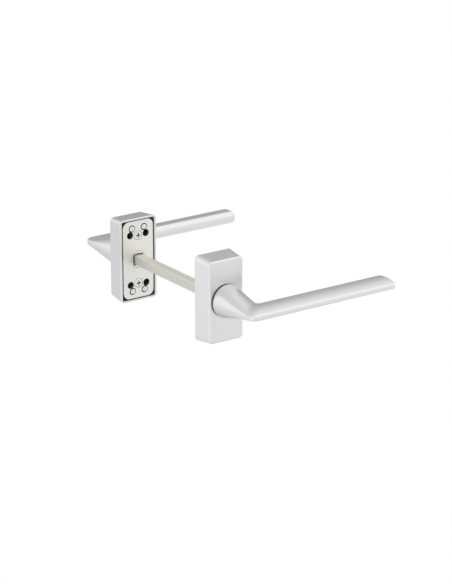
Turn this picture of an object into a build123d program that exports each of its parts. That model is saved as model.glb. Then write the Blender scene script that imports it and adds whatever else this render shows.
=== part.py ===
from build123d import *
import os
from math import asin, cos, degrees, hypot, pi, radians, sin, sqrt, tan

# A pair of lever handles on narrow roses, joined by one square spindle.
# Frame: origin at the middle of the spindle, X along the levers, Y along the spindle, Z up.
# One handle is modelled with Y = 0 on the door face and Y growing away from the door,
# then set at the rear of the door and mirrored to the front.

# Driving dimensions, in millimetres and degrees

# Spindle and door
door_gap = 108.6
spindle_side = 8.0
spindle_edge_r = 0.6
spindle_depth = 32.0
socket_clearance = 0.05
socket_end_gap = 2.0

# Rose cover
rose_width = 35.5
rose_height = 71.6
rose_depth = 18.4
rose_draft = 5.1
rose_corner_r = 3.6
rose_front_r = 1.5
side_wall = 1.9
end_wall = 1.6
front_wall = 2.6
collar_wall = 2.4
cavity_corner_r = 1.5

# Base plate
plate_gap_x = 1.15
plate_gap_z = 0.85
plate_thickness = 2.5
plate_corner_r = 5.6
plate_recess = 0.4

# Fixing holes for the door, and the cast posts beside them, set in from the plate's ends
fixing_spacing_x = 15.4
fixing_inset_z = 11.85
fixing_hole_r = 3.0
post_spacing_x = 11.8
post_inset_z = 6.25
post_r = 2.45
post_clearance = 0.6
post_proud = 0.9

# Screws that hold the plate to the cover, set in from its ends
screw_inset_z = 12.65
screw_head_r = 3.8
screw_head_height = 1.5
screw_head_proud = 0.4
screw_head_round = 0.5
screw_r = 2.0
screw_length = 9.0
screw_clearance = 0.05
screw_end_gap = 1.0
screw_head_clearance = 0.2
recess_span = 4.4
recess_width = 1.1
recess_depth = 1.1
boss_r = 3.6

# Lever: grip section, from its door side to its thin outer edge
grip_length = 131.1
grip_reach = 29.0
grip_width = 20.5
grip_thickness = 10.7
edge_thickness = 4.0
shoulder_r = 4.8
tip_height = 11.0
tip_r = 4.8
tip_corner_r = 3.0

# Lever: neck and bend
neck_base_r = 13.8
neck_edge_spread = 66.0
bend_outer_x = -10.5
bend_outer_r = 7.0
bend_inner_r = 3.0
bend_turns = (0, 22.5, 45, 67.5, 90)

# Lever hub inside the rose
hub_r = 9.0
hub_end_gap = 1.0
clip_groove_depth = 0.8

# Bush ring between lever and cover
ring_r = 13.8
ring_thickness = 1.0
bush_r = 11.0
bush_length = 4.6
running_clearance = 0.05
running_gap = 0.2

# Thrust washer and retaining clip
washer_r = 11.4
washer_thickness = 1.0
washer_clearance = 0.15
clip_width = 2.4
clip_thickness = 1.1
clip_mouth = 50.0

# Spring cam
cam_r = 13.2
cam_thickness = 2.2
cam_boss_r = 6.9
cam_boss_clearance = 0.5
cam_gap = 0.4
mouth_gap = 1.1
mouth_depth = 3.6
mouth_corner_r = 2.0
lever_travel = 45.0
stop_circle_r = 11.5
stop_pin_r = 1.5
stop_clearance = 0.3

# Return spring
wire_side = 1.2
coil_r = 11.2
coil_half_turns = 5
spring_gap = 0.4
hook_bend_r = 1.6
hook_length = 1.2
hook_clearance = 0.35
leg_overhang = 1.5
leg_gap = 0.3

# Grub screw
grub_r = 2.5
grub_length = 6.0
grub_clearance = 0.05
grub_place = 8.0
grub_key = 2.5
grub_key_depth = 2.6

# Derived places along one handle's axis, from the door face outwards
plate_front = plate_recess + plate_thickness
cavity_depth = rose_depth - front_wall
cam_back = plate_front + cam_gap
cam_front = cam_back + cam_thickness
hub_end = cam_front + hub_end_gap
ring_front = rose_depth + ring_thickness
neck_base = ring_front + running_gap
bush_end = rose_depth - bush_length
washer_front = bush_end - running_gap
washer_back = washer_front - washer_thickness
clip_back = washer_back - clip_thickness
socket_end = spindle_depth + socket_end_gap
grip_inner_y = rose_depth + grip_reach
grip_outer_y = grip_inner_y + grip_width
bend_inner_x = bend_outer_x + grip_width
cavity_width = rose_width - 2 * side_wall
cavity_height = rose_height - 2 * end_wall
plate_width = cavity_width - 2 * plate_gap_x
plate_height = cavity_height - 2 * plate_gap_z
fixing_spacing_z = plate_height - 2 * fixing_inset_z
post_spacing_z = plate_height - 2 * post_inset_z
screw_spacing_z = plate_height - 2 * screw_inset_z
socket_side = spindle_side + 2 * socket_clearance
wire_half = wire_side / 2
screw_seat = plate_recess + screw_head_height - screw_head_proud
screw_hole_end = screw_seat + screw_length + screw_end_gap
AXIAL = (Align.CENTER, Align.CENTER, Align.MIN)


def slab(outline, near, far):
    """Outline drawn in X and Z, extruded along Y from near to far."""
    return Pos(0, far, 0) * Rot(90, 0, 0) * extrude(outline, far - near)


def round_bar(radius, near, far, x=0, z=0):
    """Cylinder along Y from near to far."""
    return Pos(x, near, z) * Rot(-90, 0, 0) * Cylinder(radius, far - near, align=AXIAL)


def drafted_box(width, height, corner_r, depth):
    """Rounded box that narrows with the rose's draft as it leaves the door face."""
    inset = 2 * depth * tan(radians(rose_draft))
    back = RectangleRounded(width, height, corner_r)
    front = RectangleRounded(width - inset, height - inset, corner_r)
    return Rot(-90, 0, 0) * loft([back, Pos(0, 0, depth) * front])


def corners(spacing_x, spacing_z):
    """The four corners of a rectangle centred on the axis."""
    return [(i * spacing_x / 2, k * spacing_z / 2) for i in (-1, 1) for k in (-1, 1)]


def screw_places():
    """Height of each plate screw on the centre line."""
    return [-screw_spacing_z / 2, screw_spacing_z / 2]


def make_rose_cover():
    """Drafted shell with the hub hole, the screw bosses and the four posts."""
    body = drafted_box(rose_width, rose_height, rose_corner_r, rose_depth)
    front_edges = body.faces().sort_by(Axis.Y)[-1].edges()
    body = fillet(front_edges, rose_front_r)
    body -= drafted_box(cavity_width, cavity_height, cavity_corner_r, cavity_depth)
    for z in screw_places():
        body += round_bar(boss_r, plate_front, cavity_depth, z=z)
        body -= round_bar(screw_r + screw_clearance, plate_front, screw_hole_end, z=z)
    for x, z in corners(post_spacing_x, post_spacing_z):
        body += round_bar(post_r, -post_proud, cavity_depth, x, z)
    body += round_bar(bush_r + collar_wall, bush_end + running_gap, cavity_depth)
    return body - round_bar(bush_r, 0, rose_depth)


def make_base_plate():
    """Flat plate with double holes, hub hole, counterbored screw holes and the stop pin."""
    plate = slab(RectangleRounded(plate_width, plate_height, plate_corner_r), plate_recess, plate_front)
    plate -= round_bar(cam_boss_r + cam_boss_clearance, plate_recess, plate_front)
    for x, z in corners(fixing_spacing_x, fixing_spacing_z):
        plate -= round_bar(fixing_hole_r, plate_recess, plate_front, x, z)
    for x, z in corners(post_spacing_x, post_spacing_z):
        plate -= round_bar(post_r + post_clearance, plate_recess, plate_front, x, z)
    for z in screw_places():
        plate -= round_bar(screw_r + screw_head_clearance, plate_recess, plate_front, z=z)
        plate -= round_bar(screw_head_r + screw_head_clearance, plate_recess, screw_seat, z=z)
    stop = round_bar(stop_pin_r, plate_front, cam_front, z=stop_circle_r)
    return plate + stop


def make_plate_screw(z):
    """Pan-head screw with a cross recess; its head faces the door."""
    head_top = screw_seat - screw_head_height
    head = round_bar(screw_head_r, head_top, screw_seat, z=z)
    top_edge = head.faces().sort_by(Axis.Y)[0].edges()
    head = fillet(top_edge, screw_head_round)
    for span_x, span_z in ((recess_span, recess_width), (recess_width, recess_span)):
        slot = Pos(0, z) * Rectangle(span_x, span_z)
        head -= slab(slot, head_top, head_top + recess_depth)
    return head + round_bar(screw_r, screw_seat, screw_seat + screw_length, z=z)


def make_neck_bush():
    """Flanged bush: its rim shows as a thin ring between the lever and the cover."""
    bush = round_bar(bush_r, bush_end, rose_depth) + round_bar(ring_r, rose_depth, ring_front)
    return bush - round_bar(hub_r + running_clearance, bush_end, ring_front)


def arc_handles(radius, start, end, y):
    """Cubic control points of a circular arc in the plane at height y; angles in degrees."""
    a, b = radians(start), radians(end)
    reach = 4 / 3 * tan((b - a) / 4) * radius
    first = Vector(radius * cos(a), y, radius * sin(a))
    last = Vector(radius * cos(b), y, radius * sin(b))
    leave = Vector(-sin(a), 0, cos(a)) * reach
    arrive = Vector(-sin(b), 0, cos(b)) * reach
    return [first, first + leave, last - arrive, last]


def neck_ring_curves():
    """Round foot of the neck, cut into the same six stretches as the grip section."""
    face = grip_thickness - 2 * shoulder_r
    top = hypot(grip_width - shoulder_r, (grip_thickness - edge_thickness) / 2)
    share = (360 - neck_edge_spread) / (face + pi * shoulder_r + 2 * top)
    half_face = face / 2 * share
    half_back = half_face + pi / 2 * shoulder_r * share
    half_edge = 180 - neck_edge_spread / 2
    stops = [-half_face, half_face, half_back, half_edge, 360 - half_edge, 360 - half_back, 360 - half_face]
    return [arc_handles(neck_base_r, a, b, neck_base) for a, b in zip(stops, stops[1:])]


def grip_curves(inner, outer):
    """Grip section as six cubic curves, stretched between two points of the plan."""
    across = Vector(outer[0] - inner[0], outer[1] - inner[1], 0)

    def place(depth, height):
        share = depth / grip_width
        return Vector(inner[0], inner[1], height) + across * share

    half = grip_thickness / 2
    half_face = half - shoulder_r
    half_edge = edge_thickness / 2
    round_handle = shoulder_r * (1 - 4 / 3 * tan(pi / 8))
    crown = (shoulder_r + grip_width) / 2
    crown_in = shoulder_r + (crown - shoulder_r) * 2 / 3
    crown_out = grip_width + (crown - grip_width) * 2 / 3
    crown_height = half_edge + (half - half_edge) * 2 / 3
    face = [(0, -half_face), (0, -half_face / 3), (0, half_face / 3), (0, half_face)]
    shoulder = [(0, half_face), (0, half - round_handle), (round_handle, half), (shoulder_r, half)]
    top = [(shoulder_r, half), (crown_in, half), (crown_out, crown_height), (grip_width, half_edge)]
    third = half_edge / 3
    edge = [(grip_width, half_edge), (grip_width, third), (grip_width, -third), (grip_width, -half_edge)]
    low_top = [(d, -h) for d, h in reversed(top)]
    low_shoulder = [(d, -h) for d, h in reversed(shoulder)]
    stretches = (face, shoulder, top, edge, low_top, low_shoulder)
    return [[place(d, h) for d, h in points] for points in stretches]


def section_wire(curves):
    """Closed wire through one set of curves."""
    return Wire([Bezier(*points) for points in curves])


def bend_section(turn):
    """Grip section in the bend, turn degrees round from the neck to the grip."""
    a = radians(turn)
    outer_x = bend_outer_x + bend_outer_r * (1 - cos(a))
    outer_y = grip_outer_y - bend_outer_r * (1 - sin(a))
    inner_x = bend_inner_x + bend_inner_r * (1 - cos(a))
    inner_y = grip_inner_y - bend_inner_r * (1 - sin(a))
    return grip_curves((inner_x, inner_y), (outer_x, outer_y))


def tip_block():
    """Block that rounds the tip of the grip, above and below and at its door side."""
    side = Pos(grip_length / 2, 0) * Rectangle(grip_length, tip_height)
    side = fillet(side.vertices().group_by(Axis.X)[-1], tip_r)
    plan = Pos(grip_length / 2, grip_inner_y + grip_width / 2) * Rectangle(grip_length, grip_width)
    door_corner = plan.vertices().group_by(Axis.X)[-1].sort_by(Axis.Y)[0]
    plan = fillet(door_corner, tip_corner_r)
    flat = Pos(0, 0, -tip_height / 2) * extrude(plan, tip_height)
    return slab(side, grip_inner_y, grip_outer_y) & flat


def make_lever():
    """Round neck that flattens into a wedge-shaped grip through a tight bend, with its hub."""
    foot = section_wire(neck_ring_curves())
    turns = [section_wire(bend_section(turn)) for turn in bend_turns]
    tip = section_wire(grip_curves((grip_length, grip_inner_y), (grip_length, grip_outer_y)))
    neck = Solid.make_loft([foot, turns[0]], ruled=True)
    bend = Solid.make_loft(turns)
    grip = Solid.make_loft([turns[-1], tip], ruled=True)
    grip &= tip_block()
    lever = Part() + neck + bend + grip
    lever += round_bar(hub_r, hub_end, neck_base)
    lever -= slab(RectangleRounded(socket_side, socket_side, spindle_edge_r), hub_end, socket_end)
    groove = round_bar(hub_r, clip_back, washer_back)
    lever -= groove - round_bar(hub_r - clip_groove_depth, clip_back, washer_back)
    lever -= Pos(0, neck_base + grub_place, 0) * Cylinder(
        grub_r + grub_clearance, 2 * neck_base_r, align=(Align.CENTER, Align.CENTER, Align.MAX)
    )
    return lever


def make_grub_screw():
    """Headless screw with a hexagon socket, from the neck's underside onto the spindle."""
    body = Cylinder(grub_r, grub_length, align=(Align.CENTER, Align.CENTER, Align.MAX))
    key = extrude(RegularPolygon(grub_key / 2, 6, major_radius=False), grub_key_depth)
    body -= Pos(0, 0, -grub_length) * key
    return Pos(0, neck_base + grub_place, -spindle_side / 2) * body


def make_thrust_washer():
    """Plain washer between the bush and the retaining clip."""
    disc = round_bar(washer_r, washer_back, washer_front)
    return disc - round_bar(hub_r + washer_clearance, washer_back, washer_front)


def make_retaining_clip():
    """Open ring that snaps into the hub's groove."""
    inner = hub_r - clip_groove_depth
    ring = round_bar(inner + clip_width, clip_back, washer_back)
    ring -= round_bar(inner, clip_back, washer_back)
    reach = 2 * (inner + clip_width)
    half = radians(clip_mouth / 2)
    mouth = Polygon((0, 0), (reach * sin(half), -reach), (-reach * sin(half), -reach), align=None)
    return ring - slab(mouth, clip_back, washer_back)


def spring_path():
    """Runs of the spring's centre line: hook into the cam, coil, and a leg that leans on the lower boss.

    A run of two points is straight, and a run of three points is an arc.
    """
    low = cam_front + spring_gap + wire_half
    high = clip_back - spring_gap - wire_half
    boss_depth = screw_spacing_z / 2
    leg_offset = boss_r + wire_half + leg_gap
    leave_angle = 180 + degrees(asin((coil_r + leg_offset) / boss_depth))
    start_angle = leave_angle - 180 * coil_half_turns

    def coil_point(half_turns):
        a = radians(start_angle + 180 * half_turns)
        rise = (high - low) * half_turns / coil_half_turns
        return Vector(coil_r * cos(a), low + rise, coil_r * sin(a))

    coil = [(coil_point(i), coil_point(i + 0.5), coil_point(i + 1)) for i in range(coil_half_turns)]
    along = ThreePointArc(*coil[0]) % 0
    axial = Vector(0, 1, 0)
    axial = (axial - along * axial.dot(along)).normalized()
    centre = coil_point(0) - axial * hook_bend_r
    foot = centre - along * hook_bend_r
    middle = centre + (axial - along) * (hook_bend_r / sqrt(2))
    leg_length = sqrt(boss_depth**2 - (coil_r + leg_offset) ** 2) + leg_overhang
    leg_start = coil_point(coil_half_turns)
    leg_end = leg_start + (ThreePointArc(*coil[-1]) % 1) * leg_length
    return [(foot - axial * hook_length, foot), (foot, middle, coil_point(0)), *coil, (leg_start, leg_end)]


def make_return_spring():
    """Torsion spring of square wire round the hub, swept along its runs."""
    runs = [Line(*points) if len(points) == 2 else ThreePointArc(*points) for points in spring_path()]
    hook, _, coil = runs[:3]
    section = Plane(origin=hook @ 0, x_dir=coil % 0, z_dir=hook % 0) * Rectangle(wire_side, wire_side)
    return sweep(section, path=Wire(runs))


def make_spring_cam():
    """Disc turned by the spindle, with a boss in the plate, the spring's hole and the stop notch."""
    cam = round_bar(cam_r, cam_back, cam_front) + round_bar(cam_boss_r, plate_recess, cam_back)
    cam -= slab(RectangleRounded(socket_side, socket_side, spindle_edge_r), plate_recess, cam_front)
    mouth_side = spindle_side + 2 * mouth_gap
    mouth = RectangleRounded(mouth_side, mouth_side, mouth_corner_r)
    cam -= slab(mouth, plate_recess, plate_recess + mouth_depth)
    hook = spring_path()[0][-1]
    cam -= round_bar(wire_half * sqrt(2) + hook_clearance, cam_back, cam_front, hook.X, hook.Z)
    room = stop_pin_r + stop_clearance
    for turn in (0, lever_travel):
        angle = radians(90 + turn)
        cam -= round_bar(room, cam_back, cam_front, stop_circle_r * cos(angle), stop_circle_r * sin(angle))
    notch = Circle(cam_r + room) - Circle(stop_circle_r - room)
    reach = 2 * cam_r
    end = radians(90 + lever_travel)
    notch &= Polygon((0, 0), (0, reach), (reach * cos(end), reach * sin(end)), align=None)
    for turn, side in ((0, 1), (lever_travel, -1)):
        open_end = Pos(stop_circle_r, side * room / 2) * Rectangle(2 * room, room)
        notch += Rot(0, 0, 90 + turn) * Pos(room / 2, -side * room) * open_end
    return cam - slab(notch, cam_back, cam_front)


def make_spindle():
    """Square bar through both handles."""
    outline = RectangleRounded(spindle_side, spindle_side, spindle_edge_r)
    reach = door_gap / 2 + spindle_depth
    return slab(outline, -reach, reach)


def handle_pieces():
    """Every piece of one handle, by name."""
    return {
        "lever": make_lever(),
        "rose_cover": make_rose_cover(),
        "base_plate": make_base_plate(),
        "plate_screws": Compound([make_plate_screw(z) for z in screw_places()]),
        "neck_bush": make_neck_bush(),
        "thrust_washer": make_thrust_washer(),
        "retaining_clip": make_retaining_clip(),
        "spring_cam": make_spring_cam(),
        "return_spring": make_return_spring(),
        "grub_screw": make_grub_screw(),
    }


os.makedirs("parts", exist_ok=True)
export_step(make_spindle(), "parts/spindle.step")
for name, piece in handle_pieces().items():
    rear = Pos(0, door_gap / 2, 0) * piece
    export_step(rear, f"parts/rear_{name}.step")
    export_step(mirror(rear, about=Plane.XZ), f"parts/front_{name}.step")
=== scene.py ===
import math

import bmesh
import bpy
from bpy.props import FloatProperty, FloatVectorProperty, PointerProperty
from mathutils import Euler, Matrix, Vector


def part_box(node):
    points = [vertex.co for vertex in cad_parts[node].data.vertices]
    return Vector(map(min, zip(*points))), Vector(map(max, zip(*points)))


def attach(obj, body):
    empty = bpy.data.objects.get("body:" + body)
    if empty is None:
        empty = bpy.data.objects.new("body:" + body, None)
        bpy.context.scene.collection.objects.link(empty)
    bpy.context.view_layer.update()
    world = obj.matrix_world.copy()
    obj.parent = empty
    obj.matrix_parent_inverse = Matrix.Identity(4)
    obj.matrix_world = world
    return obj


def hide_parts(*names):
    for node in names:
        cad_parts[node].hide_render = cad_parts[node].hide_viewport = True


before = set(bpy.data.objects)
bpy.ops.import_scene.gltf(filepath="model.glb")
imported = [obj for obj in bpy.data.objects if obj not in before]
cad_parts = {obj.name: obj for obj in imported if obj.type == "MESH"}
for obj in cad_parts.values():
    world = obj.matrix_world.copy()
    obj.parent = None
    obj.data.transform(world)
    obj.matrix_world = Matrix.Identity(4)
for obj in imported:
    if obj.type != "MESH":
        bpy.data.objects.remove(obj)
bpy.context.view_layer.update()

bl_info = {
    "name": "Lever Handle Set",
    "version": (1, 0, 0),
    "blender": (4, 5, 0),
    "location": "3D View > Sidebar > Handle Set",
    "description": "Gives a pair of lever handles on narrow roses their visible surfaces and finishes",
    "category": "Object",
}

MM = 0.001
SIDES = {"front": -1, "rear": 1}
ROSES = "roses"
LEVERS = "levers"

# Edges that turn by more degrees than this stay crisp, on a lever and on the other pieces.
LEVER_SHARP = 38
PIECE_SHARP = 32
# Points closer than this are joined, and faces that turn by fewer degrees than this are made one.
WELD = 0.002 * MM
FLAT = 0.5
# Edges that turn by more degrees than this are broken on a deburred part.
DEBURRED = 35
# Points round a drilled hole, a cast post and a screw.
HOLE_POINTS = 32
POST_POINTS = 40
SCREW_POINTS = 48

# The posts of a rose reach this far past its rim, into the door.
POST_PROUD = 0.9 * MM
# The neck stands this far off the rim of its bush.
NECK_GAP = 0.2 * MM
# A cam's boss: its radius, its end from the door face, and what is added to its radius.
CAM_BOSS_RADIUS = 6.9 * MM
CAM_BOSS_END = 3.4 * MM
CAM_BOSS_GROWTH = 0.35 * MM

# Sockets of a Mix node that mixes colours.
COLOUR_A = 6
COLOUR_B = 7
COLOUR_RESULT = 2
# Share of the floor that shows as plain white. The rest is card, which takes the object's shadow.
FLOOR_WHITE = 0.92

# One handle is drawn with y = 0 on the door face and y growing away from the door.
rose_low, rose_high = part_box("rear_rose_cover")
lever_low, lever_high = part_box("rear_lever")
bush_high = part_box("rear_neck_bush")[1]
grub_low, grub_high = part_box("rear_grub_screw")
screw_low, screw_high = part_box("rear_plate_screws")
door_face = rose_low.y + POST_PROUD


def linear(hex_colour):
    """Linear red, green and blue of an sRGB hex value."""
    channels = [int(hex_colour[i:i + 2], 16) / 255 for i in (1, 3, 5)]
    return tuple(c / 12.92 if c <= 0.04045 else ((c + 0.055) / 1.055) ** 2.4 for c in channels)


def length(name, description, metres):
    """Length property in metres."""
    return FloatProperty(name=name, description=description, default=metres, unit="LENGTH", precision=5)


def angle(name, description, degrees):
    """Angle property, written in degrees."""
    return FloatProperty(name=name, description=description, default=math.radians(degrees), subtype="ANGLE")


def colour(name, description, hex_colour):
    """Colour property, written as an sRGB hex value."""
    return FloatVectorProperty(
        name=name, description=description, default=linear(hex_colour), subtype="COLOR", min=0, max=1
    )


def brightness(name, description, amount):
    """Brightness property, where 1 is the plain level of the room."""
    return FloatProperty(name=name, description=description, default=amount)


class LeverSizes(bpy.types.PropertyGroup):
    """Sizes of one lever's surface."""

    grip_length: length("Grip Length", "Tip of the grip from the spindle's axis", lever_high.x)
    grip_outer: length("Grip Outer Edge", "Thin edge from the door face", lever_high.y - door_face)
    grip_width: length("Grip Width", "Grip from its door side to its thin edge", 20.5 * MM)
    grip_thickness: length("Grip Thickness", "Grip from top to underside at its door side", 10.7 * MM)
    edge_thickness: length("Edge Thickness", "Height of the thin outer edge", 4.0 * MM)
    shoulder_radius: length("Shoulder Radius", "Rounding along the grip's door side", 4.8 * MM)
    crease_radius: length("Crease Softness", "Rounding along the grip's thin edge", 1.5 * MM)
    neck_crease_radius: length("Neck Crease Softness", "Rounding along the thin edge on the neck", 0.5 * MM)
    tip_height: length("Tip Height", "Height over which the grip's end is rounded", 11.0 * MM)
    tip_radius: length("Tip Radius", "Rounding of the grip's end, above and below", 4.8 * MM)
    tip_crest_radius: length("Tip Crest Radius", "That rounding past the grip's shoulder", 3.0 * MM)
    tip_corner_radius: length("Tip Corner Radius", "Rounding of the grip's end at its door side", 3.0 * MM)
    tip_edge_radius: length("Tip Edge Radius", "Rounding of the grip's end at its thin edge", 1.7 * MM)
    bend_outer_x: length("Bend Outer Place", "Thin edge on the neck, from the spindle's axis", -10.5 * MM)
    bend_outer_radius: length("Bend Outer Radius", "Radius of the thin edge round the bend", 7.0 * MM)
    bend_inner_radius: length("Bend Inner Radius", "Radius of the door side round the bend", 3.0 * MM)
    corner_share: FloatProperty(
        name="Corner Share", default=0.35, min=0.05, max=1, subtype="FACTOR",
        description="Share of the grip's width over which the bend's inner corner stays tight",
    )
    neck_radius: length("Neck Radius", "Radius of the round foot of the neck", lever_high.z)
    neck_edge_spread: angle("Neck Edge Spread", "Angle of the round foot that runs into the thin edge", 66)
    neck_foot_round: length("Neck Foot Rounding", "Rounding where the neck meets its ring", 0.15 * MM)
    hub_radius: length("Hub Radius", "Radius of the hub inside the rose", 9.0 * MM)
    groove_depth: length("Groove Depth", "Depth of the clip's groove in the hub", 0.8 * MM)
    socket_side: length("Socket Side", "Side of the square hole for the spindle", 8.1 * MM)
    socket_depth: length("Socket Depth", "End of the square hole from the door face", 34.0 * MM)
    grub_radius: length("Grub Hole Radius", "Radius of the screw hole under the neck", 2.55 * MM)


class RoseSizes(bpy.types.PropertyGroup):
    """Sizes of one rose cover's surface."""

    draft: angle("Draft", "Lean of the walls away from the door", 5.1)
    corner_radius: length("Corner Radius", "Rounding of the four corners", 3.6 * MM)
    front_radius: length("Front Radius", "Rounding round the front face", 1.5 * MM)
    side_wall: length("Side Wall", "Thickness of the two long walls", 1.9 * MM)
    end_wall: length("End Wall", "Thickness of the two short walls", 1.6 * MM)
    front_wall: length("Front Wall", "Thickness of the front", 2.6 * MM)
    cavity_corner_radius: length("Cavity Corner Radius", "Rounding of the open back's corners", 1.5 * MM)
    rim_round: length("Rim Rounding", "Rounding along the rim on the door", 0.6 * MM)
    inner_rim_round: length("Inner Rim Rounding", "Rounding along the rim's inner edge", 0.15 * MM)
    collar_radius: length("Collar Radius", "Radius of the collar round the bush", 13.4 * MM)
    collar_length: length("Collar Length", "Collar from the inside of the front", 1.8 * MM)
    hole_radius: length("Hub Hole Radius", "Radius of the hole for the bush", 11.0 * MM)
    post_radius: length("Post Radius", "Radius of the four cast posts", 2.45 * MM)
    post_spacing_x: length("Post Spacing Across", "Distance between posts across the rose", 11.8 * MM)
    post_spacing_z: length("Post Spacing Along", "Distance between posts along the rose", 54.2 * MM)
    post_proud: length("Post Reach", "Ends of the posts past the rim", POST_PROUD)
    post_round: length("Post Rounding", "Rounding of the posts' ends", 1.6 * MM)
    boss_radius: length("Boss Radius", "Radius of the two screw bosses", 3.6 * MM)
    boss_spacing: length("Boss Spacing", "Distance between the screw bosses", 41.4 * MM)
    screw_radius: length("Screw Radius", "Radius of the screws' shanks", 2.0 * MM)
    head_radius: length("Head Radius", "Radius of the screws' pan heads", 3.8 * MM)
    head_height: length("Head Height", "Height of the screws' pan heads", 1.5 * MM)
    head_crown: length("Head Crown", "Fall of the screws' heads from the middle to the rim", 0.3 * MM)
    head_round: length("Head Rounding", "Rounding of the heads' rims", 0.7 * MM)
    recess_span: length("Recess Span", "Width of the screws' cross recess", 4.4 * MM)
    recess_slot: length("Recess Slot", "Width of each slot of the cross recess", 1.1 * MM)
    recess_depth: length("Recess Depth", "Depth of the screws' cross recess", 1.1 * MM)
    boss_start: length("Boss Start", "Ends of the screw bosses from the door face", 2.9 * MM)


class FinishColours(bpy.types.PropertyGroup):
    """Colours and edge softness of the finishes."""

    silver: colour("Satin Silver", "Levers and rose covers", "#E2E2E2")
    # Painted shade: the raw casting is darkened to stand for the shade inside the rose, on the posts'
    # shafts and in the screws' recesses.
    raw_casting_painted_shade: colour("Raw Casting Painted Shade", "Inside of the rose covers", "#8C8C80")
    plating: colour("Zinc Plating", "Base plates and spring cams", "#F0F0EA")
    # Painted light: the spindle's upper side is a lighter, yellower copy of its sides' colour.
    painted_top_passivation: colour("Spindle Top Painted Light", "Upper side of the square spindle", "#E6E6D7")
    side_passivation: colour("Spindle Sides", "Other sides of the square spindle", "#DADAD4")
    nickel: colour("Bright Nickel", "Screws and washers", "#E8E8E6")
    tempered: colour("Tempered Steel", "Springs, clips and grub screws", "#5A5A5C")
    nylon: colour("Black Nylon", "Bush rings", "#151515")
    edge_round: length("Edge Rounding", "Broken edges of plates, bush rings and spindle", 0.18 * MM)


class StageSettings(bpy.types.PropertyGroup):
    """Camera, light and floor."""

    azimuth: angle("Azimuth", "Turn of the camera about the vertical", -34.689)
    elevation: angle("Elevation", "Height of the camera above level", 19.066)
    roll: angle("Roll", "Lean of the camera", -0.186)
    distance: length("Distance", "Camera from its aim", 2.2742)
    aim: FloatVectorProperty(
        name="Aim", description="Point in the middle of the picture", default=(0.05006, 0, -0.02331),
        subtype="TRANSLATION", unit="LENGTH",
    )
    lens: FloatProperty(name="Lens", description="Focal length in millimetres", default=170.42)
    floor_drop: length("Floor Drop", "Floor below the spindle's axis", 0.30)
    floor_reach: length("Floor Reach", "Half the side of the floor", 4.0)
    floor: colour("Floor", "Pale floor", "#FFFFFF")
    sky: brightness("Sky", "Brightness of the room away from its zones", 1.0)
    shade: brightness("Shade", "Brightness lost in the room's dark zone", 0.57)
    rear_shade: brightness("Rear Shade", "Brightness lost high and low at the rear", 0.18)
    front_shade: brightness("Front Shade", "Brightness lost low at the front", 0.22)
    window: brightness("Window", "Brightness added in the room's bright zone", 0.19)
    card: brightness("Card", "Brightness added at the front left", 0.38)
    wall: brightness("Wall", "Brightness added at the rear left", 0.17)


def steps(count, first=0):
    """Shares from 0 to 1 in equal steps, leaving out the last."""
    return [i / count for i in range(first, count)]


def mix(a, b, share):
    """Point or number between a and b."""
    return a + (b - a) * share


def heading(azimuth, elevation):
    """Unit vector by its turn from +X and its height above level."""
    level = math.cos(elevation)
    return Vector((level * math.cos(azimuth), level * math.sin(azimuth), math.sin(elevation)))


def on_side(point, side):
    """Point of the drawn handle, set on the front or the rear of the door."""
    return Vector((point[0], side * (door_face + point[1]), point[2]))


def circle(radius, y, angles, x=0, z=0):
    """Ring of points at the given angles, at height y above the door face."""
    return [Vector((x + radius * math.cos(a), y, z + radius * math.sin(a))) for a in angles]


def whole_turn(count):
    """Equal angles round a whole turn."""
    return [math.tau * share for share in steps(count)]


def skin(mesh, loops, caps=True, material=0):
    """Adds quads between loops of equal count, and caps on the first and the last loop."""
    rings = [[mesh.verts.new(point) for point in loop] for loop in loops]
    faces = []
    for low, high in zip(rings, rings[1:]):
        for i in range(len(low)):
            j = (i + 1) % len(low)
            faces.append(mesh.faces.new((low[i], low[j], high[j], high[i])))
    if caps:
        faces.append(mesh.faces.new(reversed(rings[0])))
        faces.append(mesh.faces.new(rings[-1]))
    for face in faces:
        face.material_index = material
    return faces


def add_piece(name, mesh, materials, sharp_degrees=PIECE_SHARP):
    """Object from a bmesh, smooth but for its real edges."""
    bmesh.ops.recalc_face_normals(mesh, faces=mesh.faces)
    data = bpy.data.meshes.new(name)
    mesh.to_mesh(data)
    mesh.free()
    for material in materials:
        data.materials.append(material)
    data.shade_smooth()
    data.set_sharp_from_angle(angle=math.radians(sharp_degrees))
    piece = bpy.data.objects.new(name, data)
    bpy.context.scene.collection.objects.link(piece)
    return piece


def seat(piece, body, node):
    """Ties a piece to its body, in place of a CAD node, which it hides."""
    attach(piece, body)
    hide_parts(node)


def broken_edges(name, node, material, width):
    """Copy of a CAD node with its sharp edges broken, as a deburred part has them."""
    mesh = bmesh.new()
    mesh.from_mesh(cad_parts[node].data)
    bmesh.ops.remove_doubles(mesh, verts=mesh.verts, dist=WELD)
    bmesh.ops.dissolve_limit(mesh, angle_limit=math.radians(FLAT), verts=mesh.verts, edges=mesh.edges)
    for face in mesh.faces:
        face.material_index = 0
    piece = add_piece(name, mesh, [material])
    bevel = piece.modifiers.new("Broken edges", "BEVEL")
    bevel.width = width
    bevel.segments = 2
    bevel.limit_method = "ANGLE"
    bevel.angle_limit = math.radians(DEBURRED)
    bevel.harden_normals = True
    return piece


def add_node(tree, kind, inputs=None, **settings):
    """Adds a node, sets its properties, and fills its inputs with values or links."""
    node = tree.nodes.new(kind)
    for key, value in settings.items():
        setattr(node, key, value)
    for key, value in (inputs or {}).items():
        if isinstance(value, bpy.types.NodeSocket):
            tree.links.new(value, node.inputs[key])
        else:
            node.inputs[key].default_value = value
    return node


def new_material(name):
    """Node material that holds nothing yet but the object's coordinates."""
    material = bpy.data.materials.new(name)
    material.use_nodes = True
    tree = material.node_tree
    tree.nodes.clear()
    coordinates = add_node(tree, "ShaderNodeTexCoord").outputs["Object"]
    return material, tree, coordinates


def rgba(values):
    """Colour with full alpha."""
    return (*values, 1.0)


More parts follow.
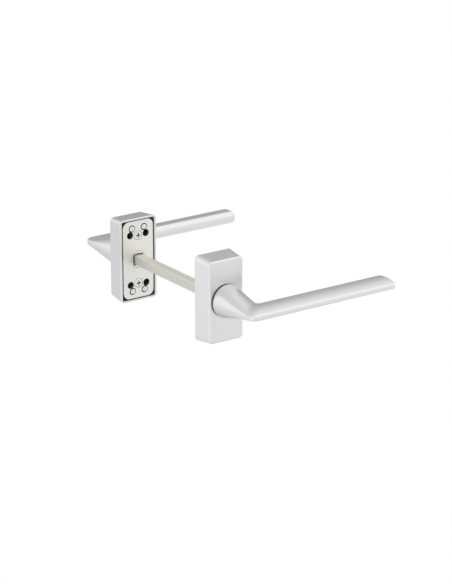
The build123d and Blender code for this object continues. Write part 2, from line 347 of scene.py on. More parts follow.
def satin_silver(colours):
    """Die-cast aluminium, blasted and silver coated: an even sheen with soft-edged highlights."""
    material, tree, place = new_material("satin_silver_die_cast_aluminium")
    # Blasting leaves pits of about 0.05 mm; they are drawn at 0.5 mm to show as a faint grain.
    grain_size = 0.5 * MM
    # The coating lies a little thicker and thinner in clouds of about 9 mm.
    cloud_size = 9 * MM
    thin = [0.97 * channel for channel in colours.silver]
    grain = add_node(tree, "ShaderNodeTexNoise", {"Vector": place, "Scale": 1 / grain_size, "Detail": 2.0})
    cloud = add_node(tree, "ShaderNodeTexNoise", {"Vector": place, "Scale": 1 / cloud_size, "Detail": 3.0})
    sheen = add_node(
        tree, "ShaderNodeMapRange", {"Value": cloud.outputs[0], "To Min": 0.28, "To Max": 0.34}
    )
    speck = add_node(
        tree, "ShaderNodeMapRange", {"Value": grain.outputs[0], "To Min": -0.012, "To Max": 0.012}
    )
    rough = add_node(tree, "ShaderNodeMath", {0: sheen.outputs[0], 1: speck.outputs[0]}, operation="ADD")
    tint = add_node(
        tree, "ShaderNodeMix",
        {"Factor": cloud.outputs[0], COLOUR_A: rgba(thin), COLOUR_B: rgba(colours.silver)},
        data_type="RGBA",
    )
    bump = add_node(
        tree, "ShaderNodeBump", {"Strength": 0.05, "Distance": 0.05 * MM, "Height": grain.outputs[0]}
    )
    shader = add_node(tree, "ShaderNodeBsdfPrincipled", {
        "Base Color": tint.outputs[COLOUR_RESULT], "Metallic": 1.0, "Roughness": rough.outputs[0],
        "Normal": bump.outputs[0],
    })
    add_node(tree, "ShaderNodeOutputMaterial", {"Surface": shader.outputs[0]})
    return material


def raw_casting_painted_shade(colours):
    """Uncoated inside of a die casting with a sandy skin, its colour darkened as painted shade for the
    cavity, the posts' shafts, the bosses and the screws' recesses.
    """
    material, tree, place = new_material("raw_die_cast_aluminium_painted_shade")
    # The skin of the mould is sandy, in grains of about 0.6 mm.
    skin_size = 0.6 * MM
    sand = add_node(tree, "ShaderNodeTexNoise", {"Vector": place, "Scale": 1 / skin_size, "Detail": 3.0})
    rough = add_node(
        tree, "ShaderNodeMapRange", {"Value": sand.outputs[0], "To Min": 0.6, "To Max": 0.8}
    )
    bump = add_node(
        tree, "ShaderNodeBump", {"Strength": 0.3, "Distance": 0.1 * MM, "Height": sand.outputs[0]}
    )
    shader = add_node(tree, "ShaderNodeBsdfPrincipled", {
        "Base Color": rgba(colours.raw_casting_painted_shade), "Metallic": 0.6, "Roughness": rough.outputs[0],
        "Normal": bump.outputs[0],
    })
    add_node(tree, "ShaderNodeOutputMaterial", {"Surface": shader.outputs[0]})
    return material


def zinc_plating(colours):
    """Zinc-plated sheet steel: a warm, pale, slightly clouded satin."""
    material, tree, place = new_material("zinc_plated_sheet_steel")
    # Plating crystals cloud the sheet in patches of about 2.5 mm, with a rolled grain of 0.4 mm.
    cloud_size = 2.5 * MM
    grain_size = 0.4 * MM
    dull = [0.93 * channel for channel in colours.plating]
    cloud = add_node(tree, "ShaderNodeTexNoise", {"Vector": place, "Scale": 1 / cloud_size, "Detail": 4.0})
    grain = add_node(tree, "ShaderNodeTexNoise", {"Vector": place, "Scale": 1 / grain_size, "Detail": 2.0})
    rough = add_node(
        tree, "ShaderNodeMapRange", {"Value": cloud.outputs[0], "To Min": 0.38, "To Max": 0.50}
    )
    tint = add_node(
        tree, "ShaderNodeMix",
        {"Factor": cloud.outputs[0], COLOUR_A: rgba(dull), COLOUR_B: rgba(colours.plating)},
        data_type="RGBA",
    )
    bump = add_node(
        tree, "ShaderNodeBump", {"Strength": 0.08, "Distance": 0.05 * MM, "Height": grain.outputs[0]}
    )
    shader = add_node(tree, "ShaderNodeBsdfPrincipled", {
        "Base Color": tint.outputs[COLOUR_RESULT], "Metallic": 1.0, "Roughness": rough.outputs[0],
        "Normal": bump.outputs[0],
    })
    add_node(tree, "ShaderNodeOutputMaterial", {"Surface": shader.outputs[0]})
    return material


def passivated_steel(colours):
    """Drawn square bar, zinc plated and passivated, with fine lines along it; its upper side is painted
    lighter and yellower as painted light.
    """
    material, tree, place = new_material("passivated_drawn_steel")
    # Drawing leaves lines about 0.3 mm apart that run some 40 mm along the bar.
    line_width = 0.3 * MM
    line_length = 40 * MM
    stretch = add_node(tree, "ShaderNodeMapping", {
        "Vector": place, "Scale": (1 / line_width, 1 / line_length, 1 / line_width),
    })
    lines = add_node(
        tree, "ShaderNodeTexNoise", {"Vector": stretch.outputs[0], "Scale": 1.0, "Detail": 3.0}
    )
    # Painted light: the upper side takes a lighter, yellower copy of the sides' colour, fading out within
    # 0.7 mm below its edges.
    painted_top_fade = 0.7 * MM
    upper_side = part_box("spindle")[1].z
    height = add_node(tree, "ShaderNodeSeparateXYZ", {"Vector": place})
    film = add_node(tree, "ShaderNodeMapRange", {
        "Value": height.outputs["Z"], "From Min": upper_side - painted_top_fade, "From Max": upper_side,
    })
    rough = add_node(
        tree, "ShaderNodeMapRange", {"Value": lines.outputs[0], "To Min": 0.46, "To Max": 0.60}
    )
    # Painted light: thin is the sides' colour, and the top's colour is a lighter, yellower copy of it.
    thin, painted_top_tone = colours.side_passivation, colours.painted_top_passivation
    tint = add_node(
        tree, "ShaderNodeMix",
        {"Factor": film.outputs[0], COLOUR_A: rgba(thin), COLOUR_B: rgba(painted_top_tone)},
        data_type="RGBA",
    )
    bump = add_node(
        tree, "ShaderNodeBump", {"Strength": 0.1, "Distance": 0.03 * MM, "Height": lines.outputs[0]}
    )
    shader = add_node(tree, "ShaderNodeBsdfPrincipled", {
        "Base Color": tint.outputs[COLOUR_RESULT], "Metallic": 1.0, "Roughness": rough.outputs[0],
        "Normal": bump.outputs[0],
    })
    add_node(tree, "ShaderNodeOutputMaterial", {"Surface": shader.outputs[0]})
    return material


def bright_nickel(colours):
    """Nickel-plated screw steel: bright, with fine rubs that break up the shine."""
    material, tree, place = new_material("bright_nickel_plated_steel")
    # Barrel plating leaves fine rubs of about 0.8 mm.
    rub_size = 0.8 * MM
    rubs = add_node(tree, "ShaderNodeTexNoise", {"Vector": place, "Scale": 1 / rub_size, "Detail": 3.0})
    rough = add_node(
        tree, "ShaderNodeMapRange", {"Value": rubs.outputs[0], "To Min": 0.16, "To Max": 0.30}
    )
    bump = add_node(
        tree, "ShaderNodeBump", {"Strength": 0.06, "Distance": 0.05 * MM, "Height": rubs.outputs[0]}
    )
    shader = add_node(tree, "ShaderNodeBsdfPrincipled", {
        "Base Color": rgba(colours.nickel), "Metallic": 1.0, "Roughness": rough.outputs[0],
        "Normal": bump.outputs[0],
    })
    add_node(tree, "ShaderNodeOutputMaterial", {"Surface": shader.outputs[0]})
    return material


def tempered_steel(colours):
    """Oil-tempered spring steel: dark grey with a thin film that breaks up the shine."""
    material, tree, place = new_material("oil_tempered_spring_steel")
    # The oil film gathers in patches of about 1.5 mm.
    film_size = 1.5 * MM
    oiled = [0.8 * channel for channel in colours.tempered]
    film = add_node(tree, "ShaderNodeTexNoise", {"Vector": place, "Scale": 1 / film_size, "Detail": 3.0})
    rough = add_node(
        tree, "ShaderNodeMapRange", {"Value": film.outputs[0], "To Min": 0.28, "To Max": 0.45}
    )
    tint = add_node(
        tree, "ShaderNodeMix",
        {"Factor": film.outputs[0], COLOUR_A: rgba(oiled), COLOUR_B: rgba(colours.tempered)},
        data_type="RGBA",
    )
    shader = add_node(tree, "ShaderNodeBsdfPrincipled", {
        "Base Color": tint.outputs[COLOUR_RESULT], "Metallic": 1.0, "Roughness": rough.outputs[0],
    })
    add_node(tree, "ShaderNodeOutputMaterial", {"Surface": shader.outputs[0]})
    return material


def black_nylon(colours):
    """Moulded nylon: black, with the matt bloom of a spark-eroded mould."""
    material, tree, place = new_material("moulded_black_nylon")
    # The mould's texture is about 0.25 mm across.
    texture_size = 0.25 * MM
    texture = add_node(
        tree, "ShaderNodeTexNoise", {"Vector": place, "Scale": 1 / texture_size, "Detail": 2.0}
    )
    rough = add_node(
        tree, "ShaderNodeMapRange", {"Value": texture.outputs[0], "To Min": 0.42, "To Max": 0.58}
    )
    bump = add_node(
        tree, "ShaderNodeBump", {"Strength": 0.15, "Distance": 0.05 * MM, "Height": texture.outputs[0]}
    )
    shader = add_node(tree, "ShaderNodeBsdfPrincipled", {
        "Base Color": rgba(colours.nylon), "Roughness": rough.outputs[0], "IOR": 1.53,
        "Normal": bump.outputs[0],
    })
    add_node(tree, "ShaderNodeOutputMaterial", {"Surface": shader.outputs[0]})
    return material


FINISHES = {
    "satin_silver": satin_silver,
    "raw_casting_painted_shade": raw_casting_painted_shade,
    "plated_steel": zinc_plating,
    "passivated_steel": passivated_steel,
    "bright_steel": bright_nickel,
    "spring_steel": tempered_steel,
    "black_nylon": black_nylon,
}
made_finishes = {}


def finish(name):
    """Material of a finish, made once."""
    if name not in made_finishes:
        made_finishes[name] = FINISHES[name](bpy.context.scene.handle_colours)
    return made_finishes[name]


def foot_angles(size):
    """Angles on the neck's round foot where the grip's face, shoulder and top begin and end."""
    face = size.grip_thickness - 2 * size.shoulder_radius
    drop = (size.grip_thickness - size.edge_thickness) / 2
    top = math.hypot(size.grip_width - size.shoulder_radius, drop)
    share = (math.tau - size.neck_edge_spread) / (face + math.pi * size.shoulder_radius + 2 * top)
    face_end = face / 2 * share
    shoulder_end = face_end + math.pi / 2 * size.shoulder_radius * share
    return face_end, shoulder_end, math.pi - size.neck_edge_spread / 2


def section_points(size, crease):
    """Depth, height and foot angle of each point round the lever's section.

    A point lies on the grip at its depth and height, and on the neck's round foot at its angle.
    The thin edge is rounded by the crease's radius.
    """
    half = size.grip_thickness / 2
    half_face = half - size.shoulder_radius
    half_edge = size.edge_thickness / 2
    face_end, shoulder_end, top_end = foot_angles(size)
    run = size.grip_width - size.shoulder_radius
    drop = half - half_edge
    soft = crease / run
    edge_soft = crease / half_edge
    face_steps, shoulder_steps, top_steps, crease_steps, edge_steps = 2, 14, 26, 6, 6
    upper = []
    for share in steps(face_steps):
        upper.append((0, half_face * share, face_end * share))
    for share in steps(shoulder_steps):
        turn = math.pi / 2 * share
        depth = size.shoulder_radius * (1 - math.cos(turn))
        height = half_face + size.shoulder_radius * math.sin(turn)
        upper.append((depth, height, mix(face_end, shoulder_end, share)))
    for share in steps(top_steps):
        along = share * (1 - soft)
        height = half - drop * along ** 2
        upper.append((size.shoulder_radius + run * along, height, mix(shoulder_end, top_end, along)))
    top_point = Vector((size.grip_width - crease, half - drop * (1 - soft) ** 2))
    corner = Vector((size.grip_width, half_edge))
    edge_point = Vector((size.grip_width, half_edge * (1 - edge_soft)))
    near_angle = mix(shoulder_end, top_end, 1 - soft)
    far_angle = mix(top_end, math.pi, edge_soft)
    for share in steps(crease_steps):
        point = mix(mix(top_point, corner, share), mix(corner, edge_point, share), share)
        upper.append((point.x, point.y, mix(near_angle, far_angle, share)))
    for share in steps(edge_steps):
        upper.append((size.grip_width, edge_point.y * (1 - share), mix(far_angle, math.pi, share)))
    middle = (size.grip_width, 0, math.pi)
    lower = [(depth, -height, math.tau - turn) for depth, height, turn in reversed(upper[1:])]
    return upper + [middle] + lower


def across_grip(size, points, inner, outer):
    """Section set between two points of the plan."""
    loop = []
    for depth, height, _ in points:
        share = depth / size.grip_width
        loop.append(Vector((mix(inner[0], outer[0], share), mix(inner[1], outer[1], share), height)))
    return loop


def bend_loop(size, points, turn):
    """Section in the bend, by its angle from the neck."""
    inner_y = size.grip_outer - size.grip_width
    inner_x = size.bend_outer_x + size.grip_width
    inner = (
        inner_x + size.bend_inner_radius * (1 - math.cos(turn)),
        inner_y - size.bend_inner_radius * (1 - math.sin(turn)),
    )
    outer = (
        size.bend_outer_x + size.bend_outer_radius * (1 - math.cos(turn)),
        size.grip_outer - size.bend_outer_radius * (1 - math.sin(turn)),
    )
    return across_grip(size, points, inner, outer)


def arc_drop(radius, reach):
    """Fall of an arc of this radius, this far from its top."""
    return radius - math.sqrt(radius ** 2 - max(reach, 0) ** 2)


def tip_loop(size, points, share):
    """Loop on the end of the grip, drawn in from the rim of its section by a share of the way."""
    core_end = size.grip_width - size.edge_thickness / 2
    # The shoulder's rounding goes over into the crest's between these depths.
    crest_start, crest_end = 0.5 * size.shoulder_radius, 2 * size.shoulder_radius
    loop = []
    for depth, height, _ in points:
        core = min(max(depth, size.shoulder_radius), core_end)
        depth = mix(depth, core, share)
        height = height * (1 - share)
        past_shoulder = min(max((depth - crest_start) / (crest_end - crest_start), 0), 1)
        radius = mix(size.tip_radius, size.tip_crest_radius, past_shoulder)
        setback = max(
            arc_drop(radius, abs(height) - size.tip_height / 2 + radius),
            arc_drop(size.tip_corner_radius, size.tip_corner_radius - depth),
            arc_drop(size.tip_edge_radius, depth - size.grip_width + size.tip_edge_radius),
        )
        loop.append(Vector((size.grip_length - setback, size.grip_outer - size.grip_width + depth, height)))
    return loop


def eased(loops, weights, first, last, rounds):
    """Loops smoothed along the lever from first to last, each point as far as its weight says."""
    for _ in range(rounds):
        before = [list(loop) for loop in loops]
        for i in range(first, last):
            for j, point in enumerate(before[i]):
                loops[i][j] = mix(point, (before[i - 1][j] + before[i + 1][j]) / 2, weights[j] / 2)
    return loops


def lever_surface(size):
    """Loops of the neck, the bend and the grip, from the foot to the flat of the tip."""
    neck_points = section_points(size, size.neck_crease_radius)
    points = section_points(size, size.crease_radius)
    angles = [turn for _, _, turn in neck_points]
    neck_base = bush_high.y - door_face + NECK_GAP
    foot = circle(size.neck_radius, neck_base + size.neck_foot_round, angles)
    bend_start = bend_loop(size, neck_points, 0)
    neck_steps, bend_steps, grip_steps, tip_steps = 26, 18, 22, 7
    # The last loops of the grip stand close together before its rim, and so do the first past it.
    tip_run = 2.8 * MM
    tip_setbacks = [tip_run * (1 - share) for share in steps(tip_steps)]
    tip_shares = (0, 0.05, 0.1, 0.15, 0.21, 0.28, 0.36, 0.46, 0.62, 0.8, 0.96)
    loops = [[mix(a, b, share) for a, b in zip(foot, bend_start)] for share in steps(neck_steps)]
    for share in steps(bend_steps):
        between = [[mix(a, b, share) for a, b in zip(*pair)] for pair in zip(neck_points, points)]
        loops.append(bend_loop(size, between, math.pi / 2 * share))
    bend_end = bend_loop(size, points, math.pi / 2)
    tip = tip_loop(size, points, 0)
    tip_start = [point - Vector((tip_setbacks[0], 0, 0)) for point in tip]
    loops += [[mix(a, b, share) for a, b in zip(bend_end, tip_start)] for share in steps(grip_steps)]
    # The top and the thin edge flow round the bend, while its inner corner stays tight.
    weights = [min(1, depth / (size.corner_share * size.grip_width)) for depth, _, _ in points]
    loops = eased(loops, weights, first=neck_steps - 10, last=neck_steps + 9, rounds=14)
    loops += [[point - Vector((setback, 0, 0)) for point in tip] for setback in tip_setbacks]
    rim = len(loops)
    loops += [tip_loop(size, points, share) for share in tip_shares]
    loops = eased(loops, [1] * len(points), first=rim - 3, last=rim + 4, rounds=5)
    return loops, angles, neck_base


def lever_loops(size):
    """Every loop of one lever, from the blind end of its square hole, over the hub, to the tip."""
    surface, angles, neck_base = lever_surface(size)
    half_side = size.socket_side / 2
    square = [half_side / max(abs(math.cos(a)), abs(math.sin(a))) for a in angles]

    def socket(y):
        return [Vector((r * math.cos(a), y, r * math.sin(a))) for r, a in zip(square, angles)]

    clip_start, clip_end = (corner.y - door_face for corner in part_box("rear_retaining_clip"))
    groove = size.hub_radius - size.groove_depth
    hub_end = lever_low.y - door_face
    hub = [
        (size.hub_radius, hub_end), (size.hub_radius, clip_start), (groove, clip_start),
        (groove, clip_end), (size.hub_radius, clip_end),
        (size.hub_radius, neck_base), (size.neck_radius - size.neck_foot_round, neck_base),
    ]
    loops = [socket(size.socket_depth), socket(hub_end)]
    loops += [circle(radius, y, angles) for radius, y in hub]
    soft = size.neck_foot_round
    foot_steps = 4
    for share in steps(foot_steps, first=1):
        turn = math.pi / 2 * share
        radius = size.neck_radius - soft * (1 - math.sin(turn))
        loops.append(circle(radius, neck_base + soft * (1 - math.cos(turn)), angles))
    return loops + surface


def cut_away(piece, tool, sharp_degrees):
    """Cuts a tool's shape out of a piece, which takes the tool's finish there."""
    cut = piece.modifiers.new("Cut", "BOOLEAN")
    cut.object = tool
    cut.material_mode = "TRANSFER"
    result = piece.evaluated_get(bpy.context.evaluated_depsgraph_get())
    piece.data = bpy.data.meshes.new_from_object(result)
    piece.data.set_sharp_from_angle(angle=math.radians(sharp_degrees))
    piece.modifiers.clear()
    bpy.data.objects.remove(tool)


def grub_drill(size, side):
    """Round tool for the clamping screw's hole in the underside of a neck."""
    middle = (grub_low.y + grub_high.y) / 2 - door_face
    in_socket = -size.socket_side / 4
    below_neck = -size.neck_radius - size.grub_radius
    mesh = bmesh.new()
    loops = []
    for z in (in_socket, below_neck):
        ring = circle(size.grub_radius, z, whole_turn(HOLE_POINTS))
        loops.append([on_side((point.x, middle + point.z, point.y), side) for point in ring])
    skin(mesh, loops)
    return add_piece("grub_drill", mesh, [finish("satin_silver")])


def rounded_rectangle(half_width, half_height, radius, y):
    """Ring of points round a rectangle with rounded corners, anticlockwise from its right side."""
    side_steps, end_steps, corner_steps = 16, 8, 10
    ring = []
    quarter = math.pi / 2
    flat_x = half_width - radius
    flat_z = half_height - radius
    corners = ((flat_x, flat_z), (-flat_x, flat_z), (-flat_x, -flat_z), (flat_x, -flat_z))
    for i, (x, z) in enumerate(corners):
        for share in steps(corner_steps):
            turn = quarter * (i + share)
            ring.append(Vector((x + radius * math.cos(turn), y, z + radius * math.sin(turn))))
        turn = quarter * (i + 1)
        leave = Vector((x + radius * math.cos(turn), y, z + radius * math.sin(turn)))
        next_x, next_z = corners[(i + 1) % 4]
        arrive = Vector((next_x + radius * math.cos(turn), y, next_z + radius * math.sin(turn)))
        count = end_steps if i % 2 == 0 else side_steps
        ring += [mix(leave, arrive, share) for share in steps(count)]
    return ring


def rose_rings(size):
    """Rings of the rose cover: outside and rim, then the raw inside."""
    half_width = (rose_high.x - rose_low.x) / 2
    half_height = (rose_high.z - rose_low.z) / 2
    depth = rose_high.y - door_face
    lean = math.tan(size.draft)
    cavity_depth = depth - size.front_wall
    least_corner = 0.3 * MM
    rim_steps, front_steps, inner_rim_steps = 5, 9, 4

    def outside(inset, y):
        corner = max(size.corner_radius - max(inset - y * lean, 0), least_corner)
        return rounded_rectangle(half_width - inset, half_height - inset, corner, y)

    def inside(inset, y):
        inner_width = half_width - size.side_wall - inset
        inner_height = half_height - size.end_wall - inset
        return rounded_rectangle(inner_width, inner_height, size.cavity_corner_radius, y)

    outer = []
    rim = size.rim_round
    for share in steps(rim_steps):
        turn = math.pi / 2 * share
        outer.append(outside(rim * (1 - math.sin(turn)), rim * (1 - math.cos(turn))))
    outer.append(outside(rim * lean, rim))
    centre_y = depth - size.front_radius
    centre_inset = centre_y * lean + size.front_radius / math.cos(size.draft)
    for share in (*steps(front_steps), 1):
        turn = mix(size.draft, math.pi / 2, share)
        inset = centre_inset - size.front_radius * math.cos(turn)
        outer.append(outside(inset, centre_y + size.front_radius * math.sin(turn)))
    hole = [math.atan2(point.z, point.x) for point in outer[-1]]
    collar_end = cavity_depth - size.collar_length
    outer.append(circle(size.hole_radius, depth, hole))
    outer.append(circle(size.hole_radius, collar_end, hole))
    soft = size.inner_rim_round
    cavity = [
        circle(size.collar_radius, collar_end, hole), circle(size.collar_radius, cavity_depth, hole),
        inside(cavity_depth * lean, cavity_depth), inside(0, soft),
    ]
    inner_rim = []
    for share in (*steps(inner_rim_steps), 1):
        turn = math.pi / 2 * share
        inner_rim.append(inside(-soft * (1 - math.cos(turn)), soft * (1 - math.sin(turn))))
    return outer, cavity, inner_rim


def rose_mesh(size, side):
    """One rose cover: drafted shell, posts and bosses."""
    mesh = bmesh.new()
    outer, cavity, inner_rim = rose_rings(size)

    def placed(loops):
        return [[on_side(point, side) for point in loop] for loop in loops]

    skin(mesh, placed(outer), caps=False)
    # Painted shade: the cavity takes the darkened raw casting, standing for the shade inside the rose.
    skin(mesh, placed([outer[-1], *cavity]), caps=False, material=1)
    skin(mesh, placed([*inner_rim, outer[0]]), caps=False)
    bmesh.ops.remove_doubles(mesh, verts=mesh.verts, dist=WELD)
    cavity_depth = rose_high.y - door_face - size.front_wall
    turns = whole_turn(POST_POINTS)
    post_steps = 7
    for i in (-1, 1):
        for k in (-1, 1):
            x, z = i * size.post_spacing_x / 2, k * size.post_spacing_z / 2
            loops = []
            for share in (*steps(post_steps), 1):
                turn = math.pi / 2 * share
                radius = size.post_radius - size.post_round * (1 - math.sin(turn))
                height = size.post_round * (1 - math.cos(turn)) - size.post_proud
                loops.append(circle(radius, height, turns, x, z))
            loops.append(circle(size.post_radius, cavity_depth, turns, x, z))
            quads_and_caps = skin(mesh, placed(loops))
            # Painted shade: the posts' shafts take the darkened raw casting, so dark crescents show round
            # their ends.
            for face in quads_and_caps[-2 - len(turns):-2]:
                face.material_index = 1
        z = i * size.boss_spacing / 2
        ends = [circle(size.boss_radius, y, turns, 0, z) for y in (size.boss_start, cavity_depth)]
        # Painted shade: the bosses take the darkened raw casting too.
        skin(mesh, placed(ends), material=1)
    return mesh


class HANDLESET_OT_levers(bpy.types.Operator):
    """Both levers, each one casting from its hub to the tip of its grip"""

    bl_idname = "handleset.levers"
    bl_label = "Levers"

    def execute(self, context):
        size = context.scene.handle_levers
        loops = lever_loops(size)
        for name, side in SIDES.items():
            mesh = bmesh.new()
            skin(mesh, [[on_side(point, side) for point in loop] for loop in loops])
            piece = add_piece(f"{name}_lever_casting", mesh, [finish("satin_silver")], LEVER_SHARP)
            cut_away(piece, grub_drill(size, side), LEVER_SHARP)
            seat(piece, LEVERS, f"{name}_lever")
        return {"FINISHED"}


class HANDLESET_OT_roses(bpy.types.Operator):
    """Both rose covers, drafted shells with posts inside"""

    bl_idname = "handleset.roses"
    bl_label = "Rose Covers"

    def execute(self, context):
        size = context.scene.handle_roses
        for name, side in SIDES.items():
            mesh = rose_mesh(size, side)
            materials = [finish("satin_silver"), finish("raw_casting_painted_shade")]
            piece = add_piece(f"{name}_rose_shell", mesh, materials)
            seat(piece, ROSES, f"{name}_rose_cover")
        return {"FINISHED"}


def screw_mesh(size, side):
    """Pair of pan-head screws before their recesses are cut, heads towards the door."""
    mesh = bmesh.new()
    top = screw_low.y - door_face
    seat_y = top + size.head_height
    flat = size.head_radius - size.head_round
    rim_y = top + size.head_crown * (flat / size.head_radius) ** 2 + size.head_round
    rim_steps, crown_steps = 8, 8
    shank_end = screw_high.y - door_face
    profile = [(size.screw_radius, shank_end), (size.screw_radius, seat_y), (size.head_radius, seat_y)]
    for share in steps(rim_steps):
        turn = math.pi / 2 * share
        profile.append((flat + size.head_round * math.cos(turn), rim_y - size.head_round * math.sin(turn)))
    for share in steps(crown_steps):
        radius = flat * (1 - share)
        profile.append((radius, top + size.head_crown * (radius / size.head_radius) ** 2))
    for z in (-size.boss_spacing / 2, size.boss_spacing / 2):
        rings = [circle(radius, y, whole_turn(SCREW_POINTS), 0, z) for radius, y in profile]
        skin(mesh, [[on_side(point, side) for point in ring] for ring in rings])
    return mesh


def recess_punch(size, side):
    """Cross-shaped tool for the recesses of a pair of screws, whose walls take the darkened raw casting as
    painted shade.
    """
    mesh = bmesh.new()
    reach, half = size.recess_span / 2, size.recess_slot / 2
    arm = [(reach, -half), (reach, half), (half, half)]
    outline = arm + [(-z, x) for x, z in arm] + [(-x, -z) for x, z in arm] + [(z, -x) for x, z in arm]
    top = screw_low.y - door_face
    for middle in (-size.boss_spacing / 2, size.boss_spacing / 2):
        loops = []
        for y in (top - size.recess_depth, top + size.recess_depth):
            loops.append([on_side((x, y, middle + z), side) for x, z in outline])
        skin(mesh, loops)
    return add_piece("recess_punch", mesh, [finish("raw_casting_painted_shade")])


class HANDLESET_OT_plates(bpy.types.Operator):
    """Both base plates with the screws that hold them"""

    bl_idname = "handleset.plates"
    bl_label = "Base Plates and Screws"

    def execute(self, context):
        width = context.scene.handle_colours.edge_round
        size = context.scene.handle_roses
        for name, side in SIDES.items():
            plate = broken_edges(f"{name}_plate_sheet", f"{name}_base_plate", finish("plated_steel"), width)
            seat(plate, ROSES, f"{name}_base_plate")
            screws = add_piece(f"{name}_pan_screws", screw_mesh(size, side), [finish("bright_steel")])
            # Painted shade: the recesses' walls take the punch's darkened raw casting.
            cut_away(screws, recess_punch(size, side), PIECE_SHARP)
            seat(screws, ROSES, f"{name}_plate_screws")
        return {"FINISHED"}


class HANDLESET_OT_bushes(bpy.types.Operator):
    """Both bushes, whose rims show as thin black rings"""

    bl_idname = "handleset.bushes"
    bl_label = "Bush Rings"

    def execute(self, context):
        width = context.scene.handle_colours.edge_round
        for name in SIDES:
            bush = broken_edges(f"{name}_bush_ring", f"{name}_neck_bush", finish("black_nylon"), width)
            seat(bush, ROSES, f"{name}_neck_bush")
        return {"FINISHED"}


def close_ring(cam):
    """Widens a cam's boss, so that only a fine line shows between it and the plate."""
    near = 0.05 * MM
    growth = 1 + CAM_BOSS_GROWTH / CAM_BOSS_RADIUS
    for vertex in cam.data.vertices:
        x, y, z = vertex.co
        on_boss = abs(math.hypot(x, z) - CAM_BOSS_RADIUS) < near
        if on_boss and abs(y) - door_face < CAM_BOSS_END:
            vertex.co.x *= growth
            vertex.co.z *= growth


class HANDLESET_OT_spindle(bpy.types.Operator):
    """Square spindle and the cams that it turns"""

    bl_idname = "handleset.spindle"
    bl_label = "Spindle and Cams"

    def execute(self, context):
        width = context.scene.handle_colours.edge_round
        bar = broken_edges("spindle_bar", "spindle", finish("passivated_steel"), width)
        seat(bar, LEVERS, "spindle")
        for name in SIDES:
            cam = broken_edges(f"{name}_cam_disc", f"{name}_spring_cam", finish("plated_steel"), width / 2)
            close_ring(cam)
            seat(cam, LEVERS, f"{name}_spring_cam")
        return {"FINISHED"}


class HANDLESET_OT_workings(bpy.types.Operator):
    """Finishes of the washers, clips, springs and grub screws inside"""

    bl_idname = "handleset.workings"
    bl_label = "Inner Workings"

    def execute(self, context):
        finishes = {
            "thrust_washer": "bright_steel", "retaining_clip": "spring_steel",
            "return_spring": "spring_steel", "grub_screw": "spring_steel",
        }
        for side in SIDES:
            for piece, slot in finishes.items():
                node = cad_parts[f"{side}_{piece}"]
                for place in node.material_slots:
                    place.material = finish(slot)
        return {"FINISHED"}


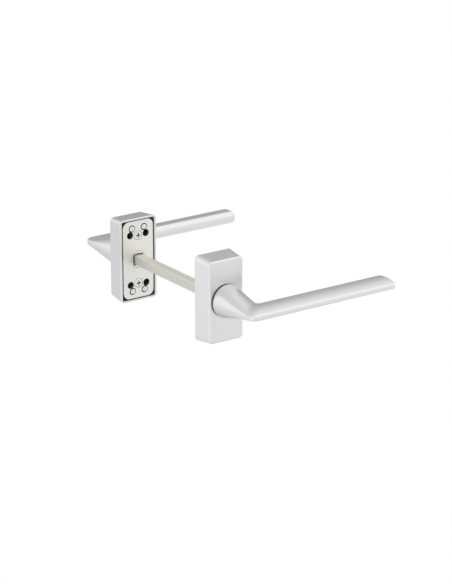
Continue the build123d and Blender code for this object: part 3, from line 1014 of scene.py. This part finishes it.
class HANDLESET_OT_stage(bpy.types.Operator):
    """Pale floor, soft light from all round and the camera"""

    bl_idname = "handleset.stage"
    bl_label = "Stage"

    def execute(self, context):
        scene = context.scene
        settings = scene.handle_stage
        scene.view_settings.view_transform = "Standard"
        self.lay_floor(settings)
        self.light_room(scene, settings)
        self.set_camera(scene, settings)
        return {"FINISHED"}

    def lay_floor(self, settings):
        """Pale floor that the camera sees as white, with the object's faint shadow."""
        mesh = bmesh.new()
        reach = settings.floor_reach
        ring = [mesh.verts.new((x * reach, y * reach, -settings.floor_drop)) for x, y in
                ((-1, -1), (1, -1), (1, 1), (-1, 1))]
        mesh.faces.new(ring)
        material, tree, place = new_material("matt_white_card_floor")
        light_path = add_node(tree, "ShaderNodeLightPath")
        seen = add_node(tree, "ShaderNodeMath", {
            0: light_path.outputs["Is Camera Ray"], 1: light_path.outputs["Is Glossy Ray"],
        }, operation="ADD")
        seen = add_node(tree, "ShaderNodeMath", {
            0: seen.outputs[0], 1: light_path.outputs["Is Transmission Ray"],
        }, operation="ADD", use_clamp=True)
        share = add_node(tree, "ShaderNodeMath", {0: seen.outputs[0], 1: FLOOR_WHITE}, operation="MULTIPLY")
        card = add_node(tree, "ShaderNodeBsdfDiffuse", {"Color": rgba(settings.floor)})
        white = add_node(tree, "ShaderNodeEmission", {"Color": rgba(settings.floor), "Strength": 1.0})
        # Painted light and shade: for reflections the floor glows with the room's soft bright and dark
        # zones, run on over it.
        outward = add_node(tree, "ShaderNodeVectorMath", {0: place}, operation="NORMALIZE")
        level = self.room_level(tree, outward.outputs[0], settings)
        painted_pools = add_node(tree, "ShaderNodeEmission", {"Color": level})
        bright = add_node(tree, "ShaderNodeMixShader", {
            0: light_path.outputs["Is Camera Ray"], 1: painted_pools.outputs[0], 2: white.outputs[0],
        })
        shader = add_node(tree, "ShaderNodeMixShader", {
            0: share.outputs[0], 1: card.outputs[0], 2: bright.outputs[0],
        })
        add_node(tree, "ShaderNodeOutputMaterial", {"Surface": shader.outputs[0]})
        add_piece("floor", mesh, [material])

    def room_level(self, tree, outward, settings):
        """Brightness of the room in a direction away from the object."""
        # Soft zones: azimuth, elevation and half-width in degrees, and brightness in the middle.
        zones = (
            (53, 8, 49, -settings.shade),
            (104, -28, 38, -settings.rear_shade),
            (108, 62, 38, -settings.rear_shade),
            (-57, -62, 34, -settings.front_shade),
            (-28, 52, 66, settings.window),
            (-143, -20, 22, settings.card),
            (147, 14, 46, settings.wall),
        )
        level = settings.sky
        for azimuth, elevation, half_width, amount in zones:
            middle = heading(math.radians(azimuth), math.radians(elevation))
            facing = add_node(
                tree, "ShaderNodeVectorMath", {0: outward, 1: middle}, operation="DOT_PRODUCT"
            )
            zone = add_node(tree, "ShaderNodeMapRange", {
                "Value": facing.outputs["Value"], "From Min": math.cos(math.radians(half_width)),
                "From Max": 1.0, "To Min": 0.0, "To Max": amount,
            }, interpolation_type="SMOOTHSTEP")
            total = add_node(tree, "ShaderNodeMath", {0: level, 1: zone.outputs[0]}, operation="ADD")
            level = total.outputs[0]
        return level

    def light_room(self, scene, settings):
        """Soft room that lights the object from all round, and that the camera sees as white."""
        world = bpy.data.worlds.new("soft_room")
        world.use_nodes = True
        tree = world.node_tree
        tree.nodes.clear()
        outward = add_node(tree, "ShaderNodeTexCoord").outputs["Generated"]
        light_path = add_node(tree, "ShaderNodeLightPath")
        level = self.room_level(tree, outward, settings)
        level = add_node(tree, "ShaderNodeMix", {
            "Factor": light_path.outputs["Is Camera Ray"], "A": level, "B": 1.0,
        })
        room = add_node(tree, "ShaderNodeBackground", {"Color": level.outputs[0]})
        add_node(tree, "ShaderNodeOutputWorld", {"Surface": room.outputs[0]})
        scene.world = world

    def set_camera(self, scene, settings):
        """Camera at the fitted angle, distance and lens."""
        lens = bpy.data.cameras.new("camera")
        lens.sensor_fit = "VERTICAL"
        lens.sensor_height = 36
        lens.lens = settings.lens
        lens.clip_end = 20
        camera = bpy.data.objects.new("camera", lens)
        turn = Euler((math.pi / 2 - settings.elevation, 0, settings.azimuth)).to_matrix()
        turn = turn @ Euler((0, 0, settings.roll)).to_matrix()
        camera.location = Vector(settings.aim) + turn @ Vector((0, 0, settings.distance))
        camera.rotation_euler = turn.to_euler()
        scene.collection.objects.link(camera)
        scene.camera = camera


class HANDLESET_PT_sidebar(bpy.types.Panel):
    """Lists the pieces, their sizes and their colours"""

    bl_label = "Handle Set"
    bl_idname = "HANDLESET_PT_sidebar"
    bl_space_type = "VIEW_3D"
    bl_region_type = "UI"
    bl_category = "Handle Set"

    def draw(self, context):
        for operator in OPERATORS:
            self.layout.operator(operator.bl_idname)
        for group_name in GROUPS:
            group = getattr(context.scene, group_name)
            box = self.layout.box()
            for key in group.bl_rna.properties.keys():
                if key not in ("rna_type", "name"):
                    box.prop(group, key)


GROUPS = {
    "handle_levers": LeverSizes,
    "handle_roses": RoseSizes,
    "handle_colours": FinishColours,
    "handle_stage": StageSettings,
}
OPERATORS = (
    HANDLESET_OT_levers,
    HANDLESET_OT_roses,
    HANDLESET_OT_plates,
    HANDLESET_OT_bushes,
    HANDLESET_OT_spindle,
    HANDLESET_OT_workings,
    HANDLESET_OT_stage,
)
CLASSES = (*GROUPS.values(), *OPERATORS, HANDLESET_PT_sidebar)


def register():
    """Adds the classes and the settings to Blender."""
    for item in CLASSES:
        bpy.utils.register_class(item)
    for name, group in GROUPS.items():
        setattr(bpy.types.Scene, name, PointerProperty(type=group))


def unregister():
    """Takes the settings and the classes out again."""
    for name in GROUPS:
        delattr(bpy.types.Scene, name)
    for item in reversed(CLASSES):
        bpy.utils.unregister_class(item)


def main():
    """Builds every piece and the stage."""
    register()
    bpy.ops.handleset.levers()
    bpy.ops.handleset.roses()
    bpy.ops.handleset.plates()
    bpy.ops.handleset.bushes()
    bpy.ops.handleset.spindle()
    bpy.ops.handleset.workings()
    bpy.ops.handleset.stage()


if __name__ == "__main__":
    main()
